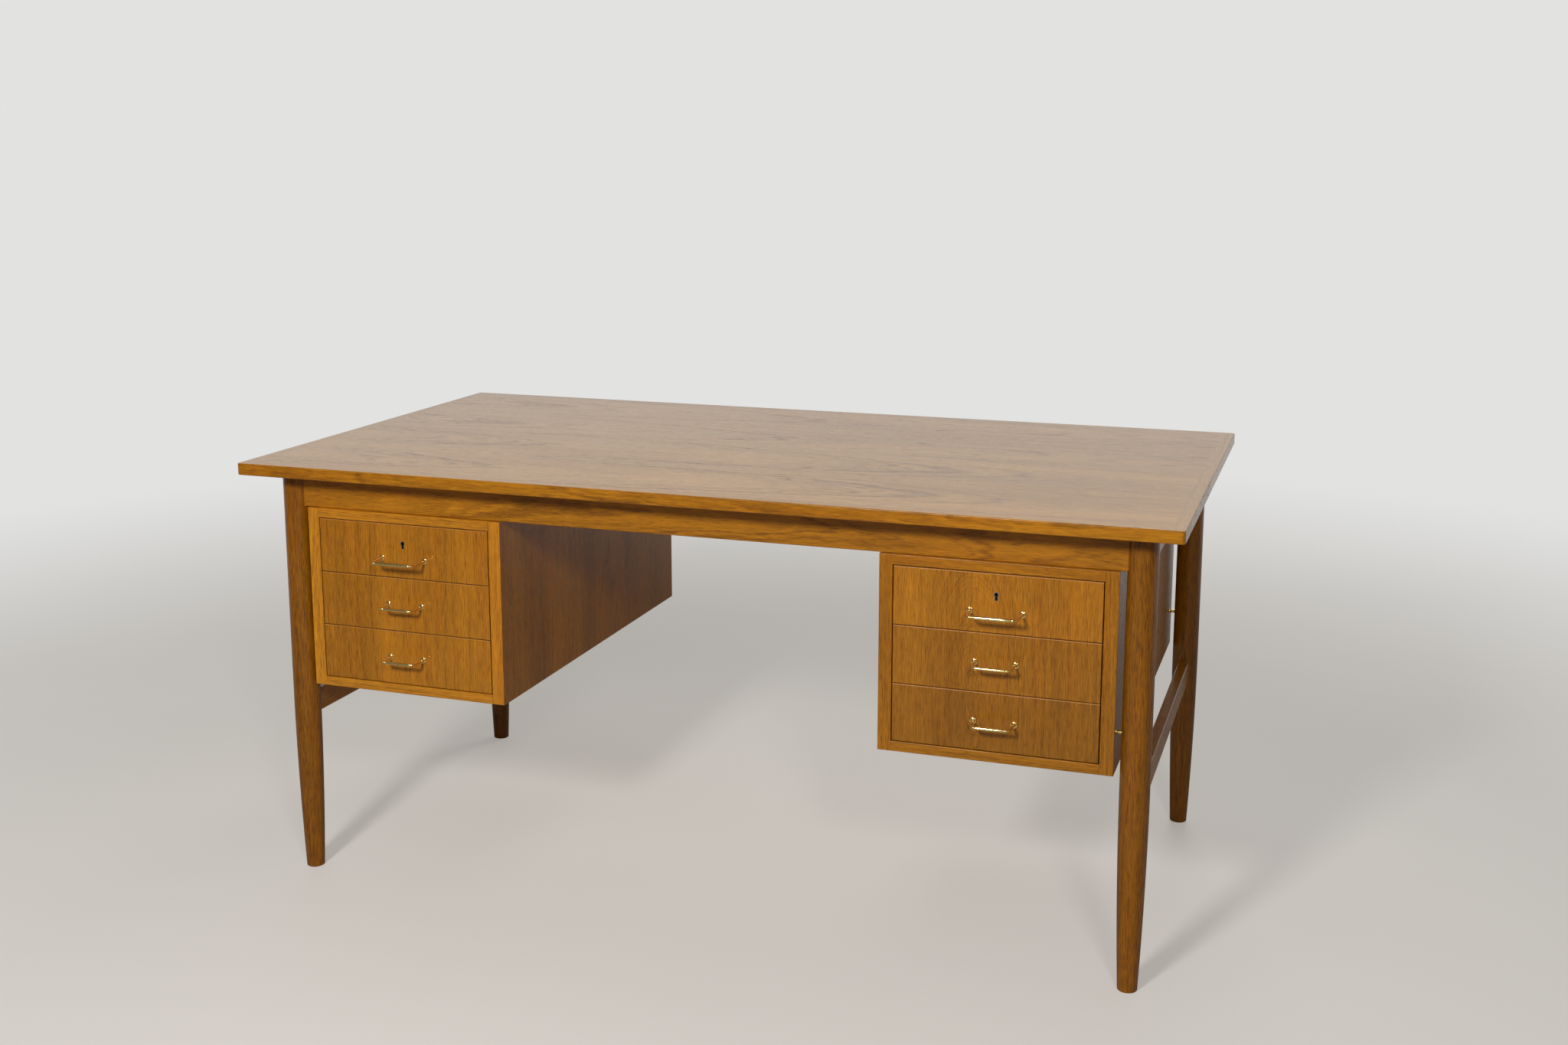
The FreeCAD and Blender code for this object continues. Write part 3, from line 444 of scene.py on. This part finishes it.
def brass():
    """Polished brass with faint hand marks."""
    made, kit = material("polished brass")
    place = kit.spot()
    smear = kit.noise(place, SMEAR_SCALE, MARK_DETAIL)
    scratch = kit.noise(place, SCRATCH_SCALE)
    tint = kit.mix(smear, BRASS_CLEAN, BRASS_SMEARED)
    rough = kit.math("MULTIPLY_ADD", smear, SMEAR_DULLS, BRASS_SHEEN)
    close(kit, metal_surface(kit, tint, rough, scratch, SCRATCH_RELIEF))
    return made


def steel():
    """Plain steel with drawn lines and a little tarnish."""
    made, kit = material("drawn steel")
    place = kit.spot()
    line = kit.noise(place, LINE_SCALE)
    stain = kit.noise(place, STAIN_SCALE, MARK_DETAIL)
    tint = kit.mix(stain, STEEL_CLEAN, STEEL_STAINED)
    rough = kit.math("MULTIPLY_ADD", line, LINE_DULLS, STEEL_SHEEN)
    close(kit, metal_surface(kit, tint, rough, line, LINE_RELIEF))
    return made


def dress(node, finish):
    """Gives a CAD node its finish in every slot."""
    mesh = nodes[node].data
    if not mesh.materials:
        mesh.materials.append(finish)
    for number in range(len(mesh.materials)):
        mesh.materials[number] = finish


def dress_frame():
    """The finishes of the top, the legs, the rails and the stretchers."""
    dress("table_top", leaved_top())
    dress("top_lipping", lipping_oak())
    for number, leg in enumerate(("front_left", "front_right", "rear_left", "rear_right")):
        low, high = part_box(f"{leg}_leg")
        middle = (low + high) / 2
        shift = (LEG_LOG_STEP * number, -middle.x + LEG_LOG_ASIDE * number, -middle.y)
        dress(f"{leg}_leg", oak(f"oak leg {leg}", "ZXY", shift, LEG_CUT, LEG_LIGHT, LEG_DARK))
    for number, end in enumerate(("front", "rear")):
        low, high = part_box(f"{end}_rail")
        shift = (RAIL_LOG_START + RAIL_LOG_STEP * number, -(low.z + high.z) / 2, -low.y)
        dress(f"{end}_rail", oak(f"oak {end} rail", "XZY", shift, RAIL_CUT))
    dress("side_rails", oak("oak side rails", "YZX", SIDE_RAILS_LOG))
    dress("side_stretchers", oak("oak stretchers", "YZX", STRETCHERS_LOG))
    dress("top_blocks", oak("oak glue blocks", "XYZ", BLOCKS_LOG, sheen=BLOCK_SHEEN))


def dress_pedestals():
    """The finishes of the carcasses and the drawer fronts."""
    for side, sign in SIDES.items():
        shift = (CARCASS_LOG_START + sign, CARCASS_LOG_ASIDE * sign, PEDESTAL_LOG_DEPTH)
        upright = carcass_oak(side, shift)
        shift = (SHELF_LOG_START + sign, SHELF_LOG_ASIDE * sign, PEDESTAL_LOG_DEPTH)
        flat = oak(f"oak {side} shelves", "XZY", shift, SHELF_CUT, EDGE_LIGHT[side], EDGE_DARK[side])
        for name in ("outer_side", "inner_side"):
            dress(f"{side}_{name}", upright)
        for name in ("pedestal_top", "pedestal_bottom", "pedestal_back"):
            dress(f"{side}_{name}", flat)
        for tier, shade in zip(TIERS, FRONT_SHADES[side]):
            dress(f"{side}_{tier}_drawer_front", front_oak(side, tier, shade))


def dress_insides():
    """The finishes of the drawer boxes, the runners, the locks and the screws."""
    pale = {"light": LINING_LIGHT, "dark": LINING_DARK, "sheen": LINING_SHEEN}
    lining = oak("drawer side wood", "YZX", LINING_LOG, LINING_CUT, **pale)
    back = oak("drawer back wood", "XZY", DRAWER_BACK_LOG, LINING_CUT, **pale)
    bottom = oak("drawer bottom ply", "XYZ", DRAWER_BOTTOM_LOG, PLY_CUT, **pale)
    metal = steel()
    dress("drawer_runners", lining)
    dress("pedestal_screws", metal)
    for side in SIDES:
        for piece in ("lock_case", "lock_bolt", "keyhole_liner"):
            dress(f"{side}_{piece}", metal)
        for tier in TIERS:
            dress(f"{side}_{tier}_drawer_sides", lining)
            dress(f"{side}_{tier}_drawer_back", back)
            dress(f"{side}_{tier}_drawer_bottom", bottom)


# Turned shapes: pairs of distance along the axis and radius, in millimetres
FLANGE_PROFILE = (
    (-7.0, 2.2),
    (-5.2, 2.5),
    (-3.4, 3.1),
    (-2.5, 3.0),
    (-2.1, 3.4),
    (-1.95, 4.5),
    (-1.6, 5.2),
    (-0.9, 5.5),
    (0, 5.4),
)
SCREW_HEAD_PROFILE = ((0, 4.0), (1.2, 4.0), (1.8, 3.6), (2.2, 2.6), (2.4, 1.0))

# Sizes of the pulls in millimetres: those of the top drawers, those of the others, and those all share
TOP_PULL = {"Span": 80.0, "Reach": 38.0, "Bend": 6.0, "Grip": 3.3}
LOW_PULL = {"Span": 62.5, "Reach": 32.0, "Bend": 4.5, "Grip": 2.7}
EVERY_PULL = {"Lean": 3.0, "Rod": 2.2, "Bead": 3.1, "Bead Inset": 5.0}

# Fineness of the pulls: steps along each shape and sides round it
BAR_STEPS, BAR_SIDES, BEND_STEPS = 220, 28, 16
FLANGE_STEPS, FLANGE_SIDES = 90, 36
HEAD_STEPS, HEAD_SIDES = 40, 28
BEAD_SIDES, BEAD_RINGS = 32, 20
SHARP_ANGLE = math.radians(50)

# The bar has four corners, and its grip thins from halfway to the end
BAR_CORNERS = 4
MIDDLE_CORNER = (BAR_CORNERS - 1) / 2
GRIP_THINS_FROM = 0.5


def turned(kit, profile, steps, resolution):
    """A lathe-turned solid along its own Y axis: pairs of distance and radius, in millimetres."""
    start, end = profile[0][0], profile[-1][0]
    widest = max(radius for distance, radius in profile)
    inputs = {"Start": (0, start * MM, 0), "End": (0, end * MM, 0)}
    line = kit.add("GeometryNodeCurvePrimitiveLine", inputs)
    fine = kit.add("GeometryNodeResampleCurve", {"Curve": line.outputs[0], "Count": steps}, mode="COUNT")
    share = kit.add("GeometryNodeSplineParameter").outputs["Factor"]
    shape = kit.add("ShaderNodeFloatCurve", {"Value": share})
    points = shape.mapping.curves[0].points
    while len(points) < len(profile):
        points.new(0.5, 0.5)
    for point, (distance, radius) in zip(points, profile):
        point.location = ((distance - start) / (end - start), radius / widest)
        point.handle_type = "VECTOR"
    shape.mapping.update()
    radius = kit.math("MULTIPLY", shape.outputs[0], widest * MM)
    return kit.tube(fine.outputs[0], radius, resolution)


def pull_bar(kit, given, number, half_span, half_bar):
    """The bent bar of a pull, which swells to its grip."""
    line = kit.add("GeometryNodeCurvePrimitiveLine")
    inputs = {"Curve": line.outputs[0], "Count": BAR_CORNERS}
    corners = kit.add("GeometryNodeResampleCurve", inputs, mode="COUNT")
    aside = kit.math("SUBTRACT", number, MIDDLE_CORNER)
    hand = kit.math("SIGN", aside)
    inner = kit.math("LESS_THAN", kit.math("ABSOLUTE", aside), 1.0)
    spread = kit.math("SUBTRACT", half_span, kit.math("MULTIPLY", inner, given["Lean"]))
    forward = kit.math("MULTIPLY", inner, kit.math("MULTIPLY", given["Reach"], -1.0))
    spot = kit.join(kit.math("MULTIPLY", hand, spread), forward, 0.0)
    bent = kit.add("GeometryNodeSetPosition", {"Geometry": corners.outputs[0], "Position": spot})
    inputs = {"Curve": bent.outputs[0], "Count": BEND_STEPS, "Radius": given["Bend"]}
    bent = kit.add("GeometryNodeFilletCurve", inputs, mode="POLY")
    inputs = {"Curve": bent.outputs[0], "Count": BAR_STEPS}
    bent = kit.add("GeometryNodeResampleCurve", inputs, mode="COUNT")
    sideways = kit.split(kit.add("GeometryNodeInputPosition").outputs[0])[0]
    outward = kit.math("DIVIDE", kit.math("ABSOLUTE", sideways), half_bar)
    swell = kit.remap(outward, GRIP_THINS_FROM, 1.0, 1.0, 0.0)
    growth = kit.math("SUBTRACT", given["Grip"], given["Rod"])
    radius = kit.math("MULTIPLY_ADD", swell, growth, given["Rod"])
    return kit.tube(bent.outputs[0], radius, BAR_SIDES)


def pair_of(kit, shape, place):
    """A shape at each of the two places that a field gives."""
    spots = kit.add("GeometryNodePoints", {"Count": 2, "Position": place})
    inputs = {"Points": spots.outputs[0], "Instance": shape}
    return kit.add("GeometryNodeInstanceOnPoints", inputs).outputs[0]


def pull_tree(finish):
    """The pattern of a brass pull, for any span: flanges, a bent bar, end beads and screw heads."""
    tree = bpy.data.node_groups.new("turned pull", "GeometryNodeTree")
    face = tree.interface
    for name in ("Span", "Reach", "Lean", "Bend", "Rod", "Grip", "Bead", "Bead Inset", "Front"):
        face.new_socket(name, in_out="INPUT", socket_type="NodeSocketFloat")
    face.new_socket("Foot", in_out="INPUT", socket_type="NodeSocketVector")
    face.new_socket("Pull", in_out="OUTPUT", socket_type="NodeSocketGeometry")
    kit = Bench(tree)
    given = kit.add("NodeGroupInput").outputs
    number = kit.add("GeometryNodeInputIndex").outputs[0]
    half_span = kit.math("MULTIPLY", given["Span"], 0.5)
    half_bar = kit.math("SUBTRACT", half_span, given["Lean"])
    bar = pull_bar(kit, given, number, half_span, half_bar)

    hand = kit.math("MULTIPLY_ADD", number, 2.0, -1.0)
    foot = kit.math("MULTIPLY", hand, half_span)
    flange = turned(kit, FLANGE_PROFILE, FLANGE_STEPS, FLANGE_SIDES)
    flanges = pair_of(kit, flange, kit.join(foot, 0.0, 0.0))
    head = turned(kit, SCREW_HEAD_PROFILE, HEAD_STEPS, HEAD_SIDES)
    heads = pair_of(kit, head, kit.join(foot, given["Front"], 0.0))
    inputs = {"Segments": BEAD_SIDES, "Rings": BEAD_RINGS, "Radius": given["Bead"]}
    bead = kit.add("GeometryNodeMeshUVSphere", inputs).outputs[0]
    end = kit.math("MULTIPLY", hand, kit.math("SUBTRACT", half_bar, given["Bead Inset"]))
    beads = pair_of(kit, bead, kit.join(end, kit.math("MULTIPLY", given["Reach"], -1.0), 0.0))

    whole = kit.add("GeometryNodeJoinGeometry")
    for piece in (bar, flanges, heads, beads):
        tree.links.new(piece, whole.inputs[0])
    placed = kit.add("GeometryNodeTransform", {"Geometry": whole.outputs[0], "Translation": given["Foot"]})
    real = kit.add("GeometryNodeRealizeInstances", {"Geometry": placed.outputs[0]})
    smooth = kit.add("GeometryNodeSetShadeSmooth", {"Geometry": real.outputs[0]})
    coated = kit.add("GeometryNodeSetMaterial", {"Geometry": smooth.outputs[0], "Material": finish})
    kit.add("NodeGroupOutput", {"Pull": coated.outputs[0]})
    return tree


def pull(side, tier, tree):
    """One brass pull on its drawer front."""
    node = f"{side}_{tier}_drawer_handle"
    front_low, front_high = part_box(f"{side}_{tier}_drawer_front")
    low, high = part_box(node)
    lengths = {**EVERY_PULL, **(TOP_PULL if tier == "top" else LOW_PULL)}
    sizes = {name: length * MM for name, length in lengths.items()}
    sizes["Front"] = front_high.y - front_low.y
    sizes["Foot"] = ((low.x + high.x) / 2, front_low.y, (low.z + high.z) / 2)
    piece = bpy.data.objects.new(f"{node}_turned", bpy.data.meshes.new(f"{node}_blank"))
    scene.collection.objects.link(piece)
    pattern = piece.modifiers.new("turned pull", "NODES")
    pattern.node_group = tree
    for item in tree.interface.items_tree:
        if item.in_out == "INPUT":
            pattern[item.identifier] = sizes[item.name]
    bpy.context.view_layer.update()
    seen = piece.evaluated_get(bpy.context.evaluated_depsgraph_get())
    mesh = bpy.data.meshes.new_from_object(seen)
    piece.modifiers.remove(pattern)
    piece.data = mesh
    mesh.set_sharp_from_angle(angle=SHARP_ANGLE)
    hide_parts(node)
    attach(piece, f"{side}_{tier}_drawer")


# Floor: patches in a metre, their tones and roughness, light of its own, where it fades, and its reach
PATCH_SCALE, PATCH_DETAIL = (0.9, 0.9, 0.9), 3.0
FLOOR_PALE, FLOOR_GREY = srgb(190, 186, 180), srgb(184, 180, 174)
FLOOR_SHEEN, PATCH_DULLS = 0.6, 0.2
FLOOR_LIGHT = 0.6
FADE_START, FADE_END = 1.3, 4.0
FLOOR_REACH = 6.0

# Room: the light it sheds, the wall that shows, and how far the side behind the viewpoint darkens in
# reflections
ROOM_TINT, ROOM_LIGHT = srgb(236, 238, 242), 0.14
WALL_TINT = srgb(226, 226, 225)
SHADE_FULL, SHADE_END, SHADE_DEPTH = -0.5, 0.3, 0.8

# Lamps: name, place, width, and power in watts
LAMPS = (
    ("key lamp", (-0.3, -3.2, 2.05), 0.5, 70.0),
    ("fill lamp", (1.7, -3.2, 2.25), 0.5, 30.0),
    ("back lamp", (0.4, 3.0, 3.2), 1.4, 22.0),
)
LAMP_AIM = Vector((0, 0, 0.45))

# Viewpoint: its place, its angles in radians, and its lens in pixels of a picture of the given width
EYE = (1.00414, -2.8304, 1.27771)
YAW, PITCH, ROLL = -0.32678, 0.18284, -0.00064
PICTURE_WIDTH, FOCAL_LENGTH, PICTURE_SHIFT = 2048, 2280.5, -92.6
SENSOR_WIDTH = 36.0
FARTHEST = 60.0


def ground():
    """A pale floor that fades out."""
    made, kit = material("pale floor")
    place = kit.spot()
    patch = kit.noise(place, PATCH_SCALE, PATCH_DETAIL)
    tint = kit.mix(patch, FLOOR_PALE, FLOOR_GREY)
    rough = kit.math("MULTIPLY_ADD", patch, PATCH_DULLS, FLOOR_SHEEN)
    seen = kit.add("ShaderNodeLightPath").outputs["Is Camera Ray"]
    inputs = {"Base Color": tint, "Roughness": rough, "Emission Color": tint}
    inputs["Emission Strength"] = kit.math("MULTIPLY", seen, FLOOR_LIGHT)
    surface = kit.add("ShaderNodeBsdfPrincipled", inputs)
    away = kit.add("ShaderNodeVectorMath", {0: place}, operation="LENGTH").outputs["Value"]
    fade = kit.remap(away, FADE_START, FADE_END)
    clear = kit.add("ShaderNodeBsdfTransparent")
    close(kit, kit.add("ShaderNodeMixShader", {0: fade, 1: surface.outputs[0], 2: clear.outputs[0]}))
    mesh = bpy.data.meshes.new("floor")
    corners = [(x * FLOOR_REACH, y * FLOOR_REACH, 0) for x, y in ((-1, -1), (1, -1), (1, 1), (-1, 1))]
    mesh.from_pydata(corners, [], [(0, 1, 2, 3)])
    mesh.materials.append(made)
    floor = bpy.data.objects.new("floor", mesh)
    scene.collection.objects.link(floor)


def room():
    """A pale room, darker behind the viewpoint where it shows in shiny surfaces."""
    world = bpy.data.worlds.new("pale room")
    world.use_nodes = True
    world.node_tree.nodes.clear()
    kit = Bench(world.node_tree)
    path = kit.add("ShaderNodeLightPath").outputs
    glow = kit.add("ShaderNodeBackground", {"Color": ROOM_TINT, "Strength": ROOM_LIGHT})
    facing = kit.split(kit.add("ShaderNodeTexCoord").outputs["Generated"])[1]
    depth = kit.remap(facing, SHADE_FULL, SHADE_END, SHADE_DEPTH, 0.0)
    shade = kit.math("MULTIPLY", path["Is Glossy Ray"], depth)
    inputs = {"Color": WALL_TINT, "Strength": kit.math("SUBTRACT", 1.0, shade)}
    wall = kit.add("ShaderNodeBackground", inputs)
    seen = kit.math("MAXIMUM", path["Is Camera Ray"], path["Is Glossy Ray"])
    both = kit.add("ShaderNodeMixShader", {0: seen, 1: glow.outputs[0], 2: wall.outputs[0]})
    kit.add("ShaderNodeOutputWorld", {"Surface": both.outputs[0]})
    scene.world = world


def lights():
    """Two soft lamps in front of the desk and a weak one behind."""
    for name, spot, width, power in LAMPS:
        lamp = bpy.data.lights.new(name, "AREA")
        lamp.shape = "DISK"
        lamp.size = width
        lamp.energy = power
        holder = bpy.data.objects.new(name, lamp)
        holder.location = spot
        holder.rotation_euler = (LAMP_AIM - Vector(spot)).to_track_quat("-Z", "Y").to_euler()
        scene.collection.objects.link(holder)


def camera():
    """The viewpoint: to the right of the middle, above the top, looking down and to the left."""
    flat = math.cos(PITCH)
    forward = Vector((math.sin(YAW) * flat, math.cos(YAW) * flat, -math.sin(PITCH)))
    level = Vector((math.cos(YAW), -math.sin(YAW), 0))
    down = forward.cross(level)
    right = level * math.cos(ROLL) + down * math.sin(ROLL)
    up = level * math.sin(ROLL) - down * math.cos(ROLL)
    lens = bpy.data.cameras.new("viewpoint")
    lens.sensor_fit = "HORIZONTAL"
    lens.sensor_width = SENSOR_WIDTH
    lens.lens = SENSOR_WIDTH * FOCAL_LENGTH / PICTURE_WIDTH
    lens.shift_y = PICTURE_SHIFT / PICTURE_WIDTH
    lens.clip_end = FARTHEST
    eye = bpy.data.objects.new("viewpoint", lens)
    turn = Matrix((right, up, -forward)).transposed()
    eye.matrix_world = Matrix.Translation(EYE) @ turn.to_4x4()
    scene.collection.objects.link(eye)
    scene.camera = eye


dress_frame()
dress_pedestals()
dress_insides()
shine = brass()
dress("brass_spacers", shine)
pulls = pull_tree(shine)
for desk_side in SIDES:
    for drawer_tier in TIERS:
        pull(desk_side, drawer_tier, pulls)
ground()
room()
lights()
camera()
